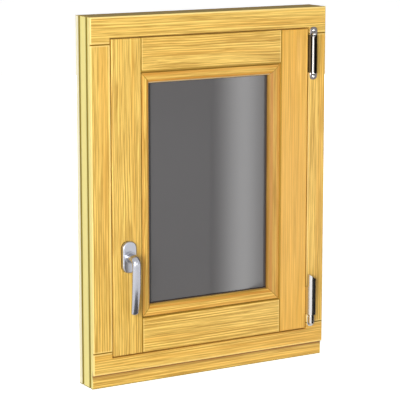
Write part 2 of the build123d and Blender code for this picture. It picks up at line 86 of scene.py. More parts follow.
def linear(hex_colour):
    """An sRGB hex colour as linear red, green, blue and alpha."""
    values = [int(hex_colour[i : i + 2], 16) / 255 for i in (1, 3, 5)]
    return (*(v / 12.92 if v <= 0.04045 else ((v + 0.055) / 1.055) ** 2.4 for v in values), 1.0)


# Settings


class WindowTimber(bpy.types.PropertyGroup):
    """Colours and grain of the pine, with painted highlights and shade"""

    early_wood: FloatVectorProperty(
        name="Early wood",
        description="Pale wood between the growth rings",
        subtype="COLOR",
        size=4,
        min=0,
        max=1,
        default=linear("#FBD46E"),
    )
    late_wood: FloatVectorProperty(
        name="Late wood",
        description="Darker line of each growth ring",
        subtype="COLOR",
        size=4,
        min=0,
        max=1,
        default=linear("#BA8A28"),
    )
    streak: FloatVectorProperty(
        name="Resin streak",
        description="Warm streaks along the grain",
        subtype="COLOR",
        size=4,
        min=0,
        max=1,
        default=linear("#E8AE44"),
    )
    outer_edge: FloatVectorProperty(
        name="Outer edge",
        description="Pale planed pine of the frame's outer edges",
        subtype="COLOR",
        size=4,
        min=0,
        max=1,
        default=linear("#F6E68C"),
    )
    # Painted shade in the grooves of the outer edges and along the frame's bottom edge
    groove_shade: FloatVectorProperty(
        name="Groove",
        description="Shaded wood in the grooves of the frame's outer edges",
        subtype="COLOR",
        size=4,
        min=0,
        max=1,
        default=linear("#9C8A30"),
    )
    # Painted shade on top of the head, where little light falls
    top_edge: FloatVectorProperty(
        name="Top edge",
        description="Darker impregnated wood on top of the head",
        subtype="COLOR",
        size=4,
        min=0,
        max=1,
        default=linear("#B89C50"),
    )
    # Painted shade in the joints' V-grooves, the mitres and the gaps beside the beads
    joint_shade: FloatVectorProperty(
        name="Stain",
        description="Stain that gathers in the V-grooves of the joints",
        subtype="COLOR",
        size=4,
        min=0,
        max=1,
        default=linear("#A68020"),
    )
    # Painted shade on the beads' slope towards the glass
    bead_slope: FloatVectorProperty(
        name="Bead slope",
        description="Deeper colour on the beads' slope towards the glass",
        subtype="COLOR",
        size=4,
        min=0,
        max=1,
        default=linear("#D08420"),
    )
    # Painted highlight along the rounded edges beside the joints
    arris_highlight: FloatVectorProperty(
        name="Arris",
        description="Pale rounded edges beside the joints, where the coat is thin",
        subtype="COLOR",
        size=4,
        min=0,
        max=1,
        default=linear("#FFE08A"),
    )
    # Painted highlight: the outside layer of the outer edges drawn near white
    back_layer: FloatVectorProperty(
        name="Back layer",
        description="Very pale sapwood of the frame's outside layer",
        subtype="COLOR",
        size=4,
        min=0,
        max=1,
        default=linear("#FFF6D0"),
    )
    # Painted shade under the step and over the right bead
    recess_shade: FloatVectorProperty(
        name="Recess",
        description="Dark brown wood under the step and deep in the profiles",
        subtype="COLOR",
        size=4,
        min=0,
        max=1,
        default=linear("#86581A"),
    )
    lip: FloatVectorProperty(
        name="Bead lip",
        description="Pale lip of the beads along the glass",
        subtype="COLOR",
        size=4,
        min=0,
        max=1,
        default=linear("#F0D4A0"),
    )
    ring_spacing: FloatProperty(
        name="Ring spacing",
        description="Distance between growth rings on a quarter-sawn face",
        unit="LENGTH",
        default=5.5 * MM,
        min=1 * MM,
        max=20 * MM,
    )
    fibre_width: FloatProperty(
        name="Fibre width",
        description="Width of the fine fibre lines",
        unit="LENGTH",
        default=2.6 * MM,
        min=0.3 * MM,
        max=5 * MM,
    )
    roughness: FloatProperty(
        name="Lacquer roughness",
        description="Roughness of the satin lacquer",
        subtype="FACTOR",
        default=0.42,
        min=0,
        max=1,
    )


class WindowMetal(bpy.types.PropertyGroup):
    """Platings and screws"""

    handle: FloatVectorProperty(
        name="Handle",
        description="Satin silver of the handle and its plate",
        subtype="COLOR",
        size=4,
        min=0,
        max=1,
        default=linear("#AEB0B8"),
    )
    hinge: FloatVectorProperty(
        name="Hinges",
        description="Bright zinc plating on the hinges",
        subtype="COLOR",
        size=4,
        min=0,
        max=1,
        default=linear("#CCCCCC"),
    )
    plate: FloatVectorProperty(
        name="Upper plate",
        description="Greyer plating of the upper hinge's plate",
        subtype="COLOR",
        size=4,
        min=0,
        max=1,
        default=linear("#7E7878"),
    )
    # Dark plating, partly painted reflection: its darkness stands in for the dark reflections and shade on
    # the upper hinge's polished strap and knuckles
    barrel: FloatVectorProperty(
        name="Barrel",
        description="Black nickel plating on the upper hinge's strap and knuckles",
        subtype="COLOR",
        size=4,
        min=0,
        max=1,
        default=linear("#4C4A48"),
    )
    rail: FloatVectorProperty(
        name="Rain rail",
        description="Natural anodised aluminium of the rain rail",
        subtype="COLOR",
        size=4,
        min=0,
        max=1,
        default=linear("#BDBEBF"),
    )
    screw_head: FloatProperty(
        name="Screw head",
        description="Diameter of the hinge screws' raised heads",
        unit="LENGTH",
        default=7.5 * MM,
        min=2 * MM,
        max=12 * MM,
    )
    screw_rise: FloatProperty(
        name="Screw rise",
        description="Height of a screw head above its plate",
        unit="LENGTH",
        default=1.4 * MM,
        min=0.2 * MM,
        max=4 * MM,
    )


class WindowGlazing(bpy.types.PropertyGroup):
    """Glass and what seals it"""

    pane: FloatVectorProperty(
        name="Pane",
        description="Body tint of the glass",
        subtype="COLOR",
        size=4,
        min=0,
        max=1,
        default=linear("#5B595A"),
    )
    seal: FloatVectorProperty(
        name="Seal",
        description="Dark brown sealant between bead and glass",
        subtype="COLOR",
        size=4,
        min=0,
        max=1,
        default=linear("#4A3826"),
    )
    rim: FloatVectorProperty(
        name="Rim",
        description="Nearly black edge of the sealant, seen through the glass",
        subtype="COLOR",
        size=4,
        min=0,
        max=1,
        default=linear("#0C0804"),
    )
    spacer: FloatVectorProperty(
        name="Spacer",
        description="Edge spacer between the panes",
        subtype="COLOR",
        size=4,
        min=0,
        max=1,
        default=linear("#8E8C88"),
    )


class WindowStage(bpy.types.PropertyGroup):
    """Camera angles and the strength of the lights"""

    turn: FloatProperty(
        name="Turn",
        description="Camera's turn to the right of straight ahead",
        subtype="ANGLE",
        default=radians(30.56),
    )
    tilt: FloatProperty(
        name="Tilt",
        description="Camera's tilt below the horizon",
        subtype="ANGLE",
        default=radians(10.46),
    )
    key: FloatProperty(
        name="Key",
        description="Strength of the key light from the left",
        default=2.12,
        min=0,
    )
    fill: FloatProperty(
        name="Fill",
        description="Strength of the surrounding light",
        default=0.14,
        min=0,
    )


# Small helpers


def add_node(tree, kind, **settings):
    """Add a node. A lower-case setting is a property, and any other is an input's value or its link."""
    node = tree.nodes.new(kind)
    for name in [name for name in settings if name.islower()]:
        setattr(node, name, settings.pop(name))
    inputs = {socket.identifier.replace(" ", "_"): socket for socket in node.inputs}
    for name, value in settings.items():
        if isinstance(value, bpy.types.Node):
            value = next(socket for socket in value.outputs if socket.enabled)
        if isinstance(value, bpy.types.NodeSocket):
            tree.links.new(value, inputs[name])
        else:
            inputs[name].default_value = value
    return node


def new_material(name):
    """A node material and its empty tree."""
    material = bpy.data.materials.new(name)
    material.use_nodes = True
    material.node_tree.nodes.clear()
    return material, material.node_tree


def paint(node_name, material):
    """Give a CAD node one material."""
    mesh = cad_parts[node_name].data
    mesh.materials.clear()
    mesh.materials.append(material)


def piece_from(bm, name, material, body):
    """Turn a finished bmesh into a piece that rides on a body."""
    bmesh.ops.recalc_face_normals(bm, faces=bm.faces)
    mesh = bpy.data.meshes.new(name)
    bm.to_mesh(mesh)
    bm.free()
    mesh.shade_smooth()
    mesh.materials.append(material)
    piece = bpy.data.objects.new(name, mesh)
    bpy.context.scene.collection.objects.link(piece)
    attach(piece, body)
    return piece


# Materials

# Tone, warmth and bend of the grain. Some members are cut from a board that differs from the rest, while
# the beads' tone and warmth are painted light: the left bead lighter and the top and right beads darker,
# by how they face the light.
PLAIN_BOARD = (0.98, 0.0, 2 * MM)
BOARDS_AND_BEAD_SHADING = {
    "bead_bottom": (1.0, 0.2, 3 * MM),
    "bead_left": (1.1, 0.1, 7 * MM),
    "bead_right": (0.84, 0.4, 3 * MM),
    "bead_top": (0.9, 0.25, 4 * MM),
    "frame_left_jamb": (0.97, 0.0, 2 * MM),
    "frame_right_jamb": (1.0, 0.2, 3 * MM),
    "sash_left_stile": (0.98, 0.0, 4 * MM),
    "sash_right_stile": (0.99, 0.7, 1 * MM),
    "sash_top_rail": (0.97, 0.05, 5 * MM),
}


def frame_marks(timber, name):
    """Colour, weight and limits of each mark on the frame's members, most of them painted highlights and
    shade.

    A limit is an axis, a place on it, how far the mark reaches, and at times how far it is full."""
    edge = ("side", FRAME_EDGE, 1.2 * MM)
    face = ("Y", FRAME_FACE, 1.0 * MM)
    foot = ("Y", FOOT_FACE, 1.0 * MM)
    marks = [
        (timber.outer_edge, 1.0, edge),
        # Painted highlight on the outside layer, near white
        (timber.back_layer, 1.0, edge, ("Y", 26 * MM, 11 * MM)),
        # Painted shade in the grooves between the glued layers
        (timber.groove_shade, 1.0, ("side", FRAME_EDGE - 2 * MM, 4 * MM), ("deep", LAYER_JOINT, 5.4 * MM)),
        # Painted highlight along the front arris of the outer edges
        (timber.arris_highlight, 1.0, ("side", FRAME_EDGE, 1.8 * MM), ("Y", FRAME_FACE + 2 * MM, 3 * MM)),
        # Painted shade on the top
        (timber.top_edge, 1.0, ("Z", FRAME_TOP, 1.0 * MM)),
        # Painted highlights along the arrises at the top and above the step
        (timber.arris_highlight, 1.0, ("Z", FRAME_TOP - 2 * MM, 1.8 * MM), face),
        (timber.arris_highlight, 0.7, ("Z", STEP_HEIGHT + 2 * MM, 1.8 * MM), face),
        # Painted shadow under the step, softening downwards, with a darker line just under it
        (timber.recess_shade, 0.6, ("Z", STEP_HEIGHT, 12 * MM, 5 * MM), foot),
        (timber.recess_shade, 1.0, ("Z", STEP_HEIGHT, 5 * MM, 3 * MM), foot),
        # Painted shade along the bottom edge
        (timber.groove_shade, 1.0, ("Z", 0.0, 2.0 * MM)),
    ]
    if "jamb" in name:
        # Painted highlight on the jamb's face beside the sash
        marks.append((timber.arris_highlight, 0.7, ("side", SASH_EDGE + 4 * MM, 1.6 * MM), face))
    for height in JOINT_HEIGHTS:
        # Painted highlight beside the shoulder
        marks.append((timber.arris_highlight, 0.6, ("Z", height, 4.4 * MM), face))
        # Painted shade in the shoulder's V-groove
        marks.append((timber.joint_shade, 1.0, ("Z", height, 1.8 * MM), ("Y", FRAME_FACE, 4 * MM)))
    return marks


def sash_marks(timber, name):
    """Colour, weight and limits of each mark on the sash's members: painted shade in its joints and gaps,
    and a painted highlight beside them.
    """
    face = ("Y", SASH_FACE, 4 * MM)
    if "stile" in name:
        # Painted shade in the gap along the bead
        return [(timber.joint_shade, 1.0, ("side", SASH_JOINT, 2.2 * MM), face)]
    return [
        # Painted highlight beside the joint with the stiles
        (timber.arris_highlight, 0.4, ("side", SASH_JOINT, 4.4 * MM), ("Y", SASH_FACE, 1.0 * MM)),
        # Painted shade in the joint with the stiles and in the gaps above and below the beads
        (timber.joint_shade, 1.0, ("side", SASH_JOINT, 1.6 * MM), face),
        (timber.joint_shade, 1.0, ("Z", BEAD_TOP + 1.2 * MM, 3.6 * MM), face),
        (timber.joint_shade, 1.0, ("Z", BEAD_BOTTOM, 1.6 * MM), face),
    ]


def bead_marks(timber, name):
    """Colour, weight and limits of each mark on the beads: painted shade in the quirk, on the hollow and
    in the mitres, and the pale lip.
    """
    upright = name in ("bead_left", "bead_right")
    axis = "side" if upright else "tall"
    outside = SASH_JOINT if upright else BEAD_HALF_HEIGHT
    marks = [
        # Painted shade on the slope towards the glass
        (timber.bead_slope, 0.4, (axis, outside - 5 * MM, 3.4 * MM)),
        (timber.bead_slope, 0.6, (axis, outside - 19 * MM, 3.4 * MM, 1 * MM)),
        # Painted shade in the quirk along the sash and in the mitres
        (timber.joint_shade, 1.0, (axis, outside, 2.6 * MM)),
        (timber.joint_shade, 1.0, ("mitre", BEAD_HALF_HEIGHT - SASH_JOINT, 1.2 * MM)),
    ]
    if name in ("bead_left", "bead_top"):
        marks.append((timber.lip, 1.0, (axis, outside - 24 * MM, 3 * MM)))
    if name == "bead_right":
        # Painted shade over the right bead, which turns from the light
        marks.append((timber.recess_shade, 0.55, (axis, outside - 24 * MM, 20 * MM, 2 * MM)))
    return marks


MARKS = {"frame": frame_marks, "sash": sash_marks, "bead": bead_marks}

# Part of a mark's reach that has its full colour, unless the mark names a length of its own
FULL_PART = 0.7

# How far apart in the pattern, in metres, one member lies from the next, and one glued layer
MEMBER_STEP = Vector((1.13, 0.4181, 1.921))
LAYER_STEP = (0.31, 0.0, 0.77)

# The grain's marks are 50 times as long as they are wide
GRAIN_STRETCH = 1 / 50

# Distance between the lines of a wave texture at a scale of 1
WAVE_LENGTH = 2 * pi / 20


def lacquered_pine(name, level, shift):
    """Pine under clear satin lacquer: fine wavy growth rings and warm streaks, with painted shade in the
    joints, grooves and recesses and painted highlights on the arrises.
    """
    timber = bpy.context.scene.window_timber
    tone_and_shading, warmth, bend = BOARDS_AND_BEAD_SHADING.get(name, PLAIN_BOARD)
    material, tree = new_material("lacquered_pine_" + name)
    place = add_node(tree, "ShaderNodeTexCoord").outputs["Object"]
    # A level member's grain runs along X, so it is turned upright before the pattern
    turned = add_node(
        tree,
        "ShaderNodeMapping",
        Vector=place,
        Rotation=(0, pi / 2 if level else 0, 0),
        Location=shift,
    )
    # Each glued layer comes from another board
    axes = add_node(tree, "ShaderNodeSeparateXYZ", Vector=place).outputs
    depth = axes["Y"]
    front = add_node(tree, "ShaderNodeMath", operation="GREATER_THAN", Value=depth, Value_001=-LAYER_JOINT)
    back = add_node(tree, "ShaderNodeMath", operation="GREATER_THAN", Value=depth, Value_001=LAYER_JOINT)
    layer = add_node(tree, "ShaderNodeMath", operation="ADD", Value=front, Value_001=back)
    apart = add_node(tree, "ShaderNodeVectorMath", operation="SCALE", Vector=LAYER_STEP, Scale=layer)
    board = add_node(tree, "ShaderNodeVectorMath", operation="ADD", Vector=turned, Vector_001=apart)
    # The tree wasn't straight, so the lines wander over 60 mm across and 220 mm along the board
    waves = (1 / (60 * MM), 1 / (60 * MM), 1 / (220 * MM))
    swell = add_node(tree, "ShaderNodeMapping", Vector=board, Scale=waves)
    wander = add_node(tree, "ShaderNodeTexNoise", Vector=swell, Scale=1.0, Detail=2.0).outputs["Color"]
    drift = add_node(tree, "ShaderNodeVectorMath", operation="SCALE", Vector=wander, Scale=2 * bend)
    bent = add_node(tree, "ShaderNodeVectorMath", operation="ADD", Vector=board, Vector_001=drift)
    drawn = add_node(tree, "ShaderNodeMapping", Vector=bent, Scale=(1, 1, GRAIN_STRETCH))
    # Rings are 2 to 3 mm apart and fibre bundles 0.3 mm wide. Both are drawn coarser so that they show.
    rings = add_node(
        tree,
        "ShaderNodeTexWave",
        Vector=drawn,
        Scale=WAVE_LENGTH / timber.ring_spacing,
        Distortion=4.5,
        Detail=2.0,
        Detail_Scale=1.1,
        Detail_Roughness=0.6,
    ).outputs["Fac"]
    fibre = add_node(
        tree,
        "ShaderNodeTexNoise",
        Vector=drawn,
        Scale=1 / timber.fibre_width,
        Detail=3.0,
        Roughness=0.6,
    ).outputs["Fac"]
    # Lighter and warmer bands are some 16 mm wide
    patches = add_node(
        tree,
        "ShaderNodeTexNoise",
        Vector=drawn,
        Scale=1 / (16 * MM),
        Detail=2.0,
    ).outputs["Color"]
    patch = add_node(tree, "ShaderNodeSeparateXYZ", Vector=patches).outputs
    # Late wood is a narrow line that comes and goes across the board
    line = add_node(tree, "ShaderNodeMapRange", Value=rings, From_Min=0.35, From_Max=1.0)
    strength = add_node(
        tree,
        "ShaderNodeMapRange",
        Value=patch["X"],
        From_Min=0.4,
        From_Max=0.6,
        To_Min=0.4,
    )
    ringed = add_node(tree, "ShaderNodeMath", operation="MULTIPLY", Value=line, Value_001=strength)
    fine = add_node(tree, "ShaderNodeMapRange", Value=fibre, From_Min=0.42, From_Max=0.62, To_Max=0.85)
    dark = add_node(tree, "ShaderNodeMath", operation="MAXIMUM", Value=ringed, Value_001=fine)
    wood = add_node(
        tree,
        "ShaderNodeMix",
        data_type="RGBA",
        Factor_Float=dark,
        A_Color=timber.early_wood,
        B_Color=timber.late_wood,
    )
    streaked = add_node(
        tree,
        "ShaderNodeMapRange",
        Value=patch["Y"],
        From_Min=0.5,
        From_Max=0.66,
        To_Min=warmth,
        To_Max=min(1.0, warmth + 0.5),
    )
    warm = add_node(
        tree,
        "ShaderNodeMix",
        data_type="RGBA",
        Factor_Float=streaked,
        A_Color=wood,
        B_Color=timber.streak,
    )
    shade = add_node(
        tree,
        "ShaderNodeMapRange",
        Value=fibre,
        From_Min=0.3,
        From_Max=0.7,
        To_Min=1.06 * tone_and_shading,
        To_Max=0.88 * tone_and_shading,
    )
    colour = add_node(tree, "ShaderNodeVectorMath", operation="SCALE", Vector=warm, Scale=shade)
    # Distances from the middles, so that one mark serves both sides
    side = add_node(tree, "ShaderNodeMath", operation="ABSOLUTE", Value=axes["X"])
    height = add_node(tree, "ShaderNodeMath", operation="SUBTRACT", Value=axes["Z"], Value_001=BEAD_MIDDLE)
    tall = add_node(tree, "ShaderNodeMath", operation="ABSOLUTE", Value=height)
    coordinates = {
        "Y": depth,
        "Z": axes["Z"],
        "side": side,
        "tall": tall,
        "deep": add_node(tree, "ShaderNodeMath", operation="ABSOLUTE", Value=depth),
        "mitre": add_node(tree, "ShaderNodeMath", operation="SUBTRACT", Value=tall, Value_001=side),
    }
    for mark, share, *limits in MARKS[name.split("_")[0]](timber, name):
        for axis, at, reach, *core in limits:
            full = core[0] if core else FULL_PART * reach
            along = coordinates[axis]
            off = add_node(tree, "ShaderNodeMath", operation="SUBTRACT", Value=along, Value_001=at)
            distance = add_node(tree, "ShaderNodeMath", operation="ABSOLUTE", Value=off)
            inside = add_node(tree, "ShaderNodeMapRange", Value=distance, From_Min=reach, From_Max=full)
            share = add_node(tree, "ShaderNodeMath", operation="MULTIPLY", Value=inside, Value_001=share)
        colour = add_node(
            tree,
            "ShaderNodeMix",
            data_type="RGBA",
            Factor_Float=share,
            A_Color=colour,
            B_Color=mark,
        )
    # The beads are coated thinner, and the top is left sawn
    gloss = timber.roughness + (0.2 if "bead" in name else 0.0)
    sheen = add_node(tree, "ShaderNodeMapRange", Value=fibre, To_Min=gloss - 0.08, To_Max=gloss + 0.08)
    sawn = add_node(
        tree,
        "ShaderNodeMath",
        operation="GREATER_THAN",
        Value=axes["Z"],
        Value_001=FRAME_TOP - 0.5 * MM,
    )
    rough = add_node(tree, "ShaderNodeMath", operation="MAXIMUM", Value=sheen, Value_001=sawn)
    relief = add_node(tree, "ShaderNodeBump", Height=fibre, Strength=0.12, Distance=0.2 * MM)
    skin = add_node(
        tree,
        "ShaderNodeBsdfPrincipled",
        Base_Color=colour,
        Roughness=rough,
        Normal=relief,
        IOR=1.5,
    )
    add_node(tree, "ShaderNodeOutputMaterial", Surface=skin)
    return material


def satin_aluminium(name, colour, roughness, shade_depth=None):
    """Anodised aluminium with a fine even grain that softens its highlights.

    The last argument is the depth beyond which a black band of painted shade shows at the foot of the
    metal, as in the gap under the rosette."""
    material, tree = new_material(name)
    place = add_node(tree, "ShaderNodeTexCoord").outputs["Object"]
    # The blasted grain is near 0.1 mm and is drawn at 1.5 mm so that it shows
    grain = add_node(tree, "ShaderNodeTexNoise", Vector=place, Scale=1 / (1.5 * MM), Detail=2.0)
    rough = add_node(
        tree,
        "ShaderNodeMapRange",
        Value=grain,
        To_Min=roughness - 0.05,
        To_Max=roughness + 0.05,
    )
    skin = add_node(tree, "ShaderNodeBsdfPrincipled", Base_Color=colour, Metallic=1.0, Roughness=rough)
    # A black band of painted shade along the foot, beyond the given depth
    if shade_depth is not None:
        depth = add_node(tree, "ShaderNodeSeparateXYZ", Vector=place).outputs["Y"]
        shaded_foot = add_node(
            tree,
            "ShaderNodeMath",
            operation="GREATER_THAN",
            Value=depth,
            Value_001=shade_depth,
        )
        shown = add_node(
            tree,
            "ShaderNodeMix",
            data_type="RGBA",
            Factor_Float=shaded_foot,
            A_Color=colour,
            B_Color=linear("#141312"),
        )
        tree.links.new(shown.outputs["Result"], skin.inputs["Base Color"])
    add_node(tree, "ShaderNodeOutputMaterial", Surface=skin)
    return material


def plated_steel(name, colour, proud=None):
    """Polished plating on steel: sharp light and dark reflections with faint cloudiness.

    proud is the colour of what stands out from the hinge plates, where that differs."""
    material, tree = new_material(name)
    place = add_node(tree, "ShaderNodeTexCoord").outputs["Object"]
    cloud = add_node(tree, "ShaderNodeTexNoise", Vector=place, Scale=1 / (6 * MM), Detail=3.0)
    rough = add_node(tree, "ShaderNodeMapRange", Value=cloud, To_Min=0.1, To_Max=0.22)
    skin = add_node(tree, "ShaderNodeBsdfPrincipled", Base_Color=colour, Metallic=1.0, Roughness=rough)
    if proud is not None:
        depth = add_node(tree, "ShaderNodeSeparateXYZ", Vector=place).outputs["Y"]
        stands = add_node(
            tree,
            "ShaderNodeMath",
            operation="LESS_THAN",
            Value=depth,
            Value_001=FRAME_FACE - PLATE_THICKNESS - 0.05 * MM,
        )
        shown = add_node(
            tree,
            "ShaderNodeMix",
            data_type="RGBA",
            Factor_Float=stands,
            A_Color=colour,
            B_Color=proud,
        )
        tree.links.new(shown.outputs["Result"], skin.inputs["Base Color"])
    add_node(tree, "ShaderNodeOutputMaterial", Surface=skin)
    return material


def float_glass(name, glazing):
    """Float glass: a polished pane whose body tint greys what lies behind it, dark along the sealant."""
    material, tree = new_material(name)
    place = add_node(tree, "ShaderNodeTexCoord").outputs["Object"]
    axes = add_node(tree, "ShaderNodeSeparateXYZ", Vector=place).outputs
    covered = 0.0
    for axis, low, high in (("X", CLEAR_LEFT, CLEAR_RIGHT), ("Z", CLEAR_BOTTOM, CLEAR_TOP)):
        clear = add_node(
            tree,
            "ShaderNodeMath",
            operation="COMPARE",
            Value=axes[axis],
            Value_001=(low + high) / 2,
            Value_002=(high - low) / 2,
        )
        hidden = add_node(tree, "ShaderNodeMath", operation="SUBTRACT", Value=1.0, Value_001=clear)
        covered = add_node(tree, "ShaderNodeMath", operation="MAXIMUM", Value=hidden, Value_001=covered)
    tint = add_node(
        tree,
        "ShaderNodeMix",
        data_type="RGBA",
        Factor_Float=covered,
        A_Color=glazing.pane,
        B_Color=glazing.rim,
    )
    # Float glass waves by microns over some 90 mm, which bends reflections a little
    ripple = add_node(tree, "ShaderNodeTexNoise", Vector=place, Scale=1 / (90 * MM), Detail=1.0)
    relief = add_node(tree, "ShaderNodeBump", Height=ripple, Strength=0.04, Distance=0.3 * MM)
    pane = add_node(
        tree,
        "ShaderNodeBsdfPrincipled",
        Base_Color=tint,
        Normal=relief,
        Roughness=0.04,
        IOR=1.52,
        Transmission_Weight=0.25,
    )
    add_node(tree, "ShaderNodeOutputMaterial", Surface=pane)
    return material


def glazing_sealant(name, colour):
    """Brown silicone sealant, tooled by hand: matt and slightly uneven."""
    material, tree = new_material(name)
    place = add_node(tree, "ShaderNodeTexCoord").outputs["Object"]
    lumps = add_node(tree, "ShaderNodeTexNoise", Vector=place, Scale=1 / (3 * MM), Detail=2.0)
    relief = add_node(tree, "ShaderNodeBump", Height=lumps, Strength=0.3, Distance=0.3 * MM)
    rough = add_node(tree, "ShaderNodeMapRange", Value=lumps, To_Min=0.55, To_Max=0.75)
    rubber = add_node(
        tree,
        "ShaderNodeBsdfPrincipled",
        Base_Color=colour,
        Roughness=rough,
        Normal=relief,
    )
    add_node(tree, "ShaderNodeOutputMaterial", Surface=rubber)
    return material


# Operators

LEVEL_MEMBERS = {
    "frame_head",
    "frame_bottom_rail",
    "sash_top_rail",
    "sash_bottom_rail",
    "bead_top",
    "bead_bottom",
}
UPRIGHT_MEMBERS = {
    "frame_left_jamb",
    "frame_right_jamb",
    "sash_left_stile",
    "sash_right_stile",
    "bead_left",
    "bead_right",
}


class WINDOW_OT_timber(bpy.types.Operator):
    """Finish the frame, the sash and the beads in lacquered pine"""

    bl_idname = "window.timber"
    bl_label = "Timber"
    bl_options = {"REGISTER", "UNDO"}

    def execute(self, context):
        for place, name in enumerate(sorted(LEVEL_MEMBERS | UPRIGHT_MEMBERS)):
            paint(name, lacquered_pine(name, name in LEVEL_MEMBERS, place * MEMBER_STEP))
        return {"FINISHED"}


class WINDOW_OT_glazing(bpy.types.Operator):
    """Finish the panes, their spacer and their seals"""

    bl_idname = "window.glazing"
    bl_label = "Glazing"
    bl_options = {"REGISTER", "UNDO"}

    def execute(self, context):
        glazing = context.scene.window_glazing
        glass = float_glass("float_glass", glazing)
        seal = glazing_sealant("glazing_sealant", glazing.seal)
        for name in ("inner_pane", "outer_pane"):
            paint(name, glass)
        for name in ("inner_glazing_seal", "outer_glazing_seal", "weather_seal"):
            paint(name, seal)
        paint("edge_spacer", satin_aluminium("mill_aluminium_spacer", glazing.spacer, 0.45))
        return {"FINISHED"}


class WINDOW_OT_rain_rail(bpy.types.Operator):
    """Finish the outside rain rail and its caps"""

    bl_idname = "window.rain_rail"
    bl_label = "Rain rail"
    bl_options = {"REGISTER", "UNDO"}

    def execute(self, context):
        skin = satin_aluminium("anodised_rail", context.scene.window_metal.rail, 0.38)
        for name in ("rain_rail", "rain_rail_left_cap", "rain_rail_right_cap"):
            paint(name, skin)
        return {"FINISHED"}


class WINDOW_OT_handle(bpy.types.Operator):
    """Finish the handle plate and the lever"""

    bl_idname = "window.handle"
    bl_label = "Handle"
    bl_options = {"REGISTER", "UNDO"}

    def execute(self, context):
        silver = context.scene.window_metal.handle
        paint("handle_lever", satin_aluminium("satin_lever", silver, 0.24))
        # The rosette's foot is painted black as shade for 2.2 mm in front of the sash
        paint("handle_rosette", satin_aluminium("satin_rosette", silver, 0.3, SASH_FACE - 2.2 * MM))
        return {"FINISHED"}


class WINDOW_OT_hinges(bpy.types.Operator):
    """Finish the hinges and set the screws in their plates"""

    bl_idname = "window.hinges"
    bl_label = "Hinges"
    bl_options = {"REGISTER", "UNDO"}

    def execute(self, context):
        metal = context.scene.window_metal
        zinc = plated_steel("bright_zinc", metal.hinge)
        for name in ("upper_hinge_pin", "lower_hinge_foot", "lower_hinge_cover", "lower_hinge_pin"):
            paint(name, zinc)
        # The upper hinge's strap and the knuckles on its plate are dark plating that stands in for dark
        # reflections and shade
        paint("upper_hinge_plate", plated_steel("grey_zinc_and_black_nickel", metal.plate, metal.barrel))
        paint("upper_hinge_strap", plated_steel("black_nickel", metal.barrel))
        low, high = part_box("upper_hinge_plate")
        for name, height in (("top", high.z - SCREW_INSET), ("bottom", low.z + SCREW_INSET)):
            at = Vector((high.x - SCREW_LINE, high.y - PLATE_THICKNESS, height))
            piece_from(screw_head(at, metal), "upper_screw_" + name, zinc, "window")
        return {"FINISHED"}


def screw_head(at, metal):
    """The domed part of a raised countersunk head, facing the room."""
    bm = bmesh.new()
    bmesh.ops.create_uvsphere(bm, u_segments=32, v_segments=16, radius=metal.screw_head / 2)
    bmesh.ops.bisect_plane(
        bm,
        geom=bm.verts[:] + bm.edges[:] + bm.faces[:],
        plane_co=(0, 0, 0),
        plane_no=(0, 1, 0),
        clear_outer=True,
    )
    bmesh.ops.scale(bm, vec=(1, metal.screw_rise / (metal.screw_head / 2), 1), verts=bm.verts)
    bmesh.ops.translate(bm, vec=at, verts=bm.verts)
    return bm


# Stage

# The pale floor glows this much where it is seen, and the key light makes up the rest of its white
FLOOR_GLOW = 0.82

# The photograph's camera, worked out from the window's edges
CAMERA_PLACE = (-1.9625, -3.306, 1.083)
CAMERA_LENS = 163.6

# What the lamps face
WINDOW_MIDDLE = (0, 0, 0.4)


class WINDOW_OT_stage(bpy.types.Operator):
    """Set up the pale floor, the soft lights and the camera"""

    bl_idname = "window.stage"
    bl_label = "Stage"
    bl_options = {"REGISTER", "UNDO"}

    def execute(self, context):
        settings = context.scene.window_stage
        make_world(context.scene, settings)
        make_floor()
        make_lights(settings)
        make_camera(context.scene, settings)
        return {"FINISHED"}


def seen_directly(tree):
    """One where a ray comes from the camera, a glossy surface or through glass, and zero elsewhere."""
    ray = add_node(tree, "ShaderNodeLightPath").outputs
    gloss = add_node(
        tree,
        "ShaderNodeMath",
        operation="MAXIMUM",
        Value=ray["Is Camera Ray"],
        Value_001=ray["Is Glossy Ray"],
    )
    return add_node(
        tree,
        "ShaderNodeMath",
        operation="MAXIMUM",
        Value=gloss,
        Value_001=ray["Is Transmission Ray"],
    )


def make_world(scene, settings):
    """White where it is seen, and a dim even light elsewhere."""
    world = bpy.data.worlds.new("studio")
    scene.world = world
    world.use_nodes = True
    tree = world.node_tree
    tree.nodes.clear()
    around = add_node(tree, "ShaderNodeBackground", Color=linear("#FFFFFF"), Strength=settings.fill)
    white = add_node(tree, "ShaderNodeBackground", Color=linear("#FFFFFF"), Strength=1.0)
    mix = add_node(tree, "ShaderNodeMixShader", Fac=seen_directly(tree), Shader=around, Shader_001=white)
    add_node(tree, "ShaderNodeOutputWorld", Surface=mix)


def make_floor():
    """A pale floor that shows white and keeps the window's shadow."""
    material, tree = new_material("studio_floor")
    glow = add_node(
        tree,
        "ShaderNodeMath",
        operation="MULTIPLY",
        Value=seen_directly(tree),
        Value_001=FLOOR_GLOW,
    )
    matt = add_node(
        tree,
        "ShaderNodeBsdfPrincipled",
        Base_Color=linear("#E6E6E6"),
        Roughness=0.9,
        Emission_Color=linear("#FFFFFF"),
        Emission_Strength=glow,
    )
    add_node(tree, "ShaderNodeOutputMaterial", Surface=matt)
    bm = bmesh.new()
    bmesh.ops.create_grid(bm, x_segments=1, y_segments=1, size=30)
    mesh = bpy.data.meshes.new("floor")
    bm.to_mesh(mesh)
    bm.free()
    mesh.materials.append(material)
    floor = bpy.data.objects.new("floor", mesh)
    floor.location.z = -0.5 * MM
    bpy.context.scene.collection.objects.link(floor)


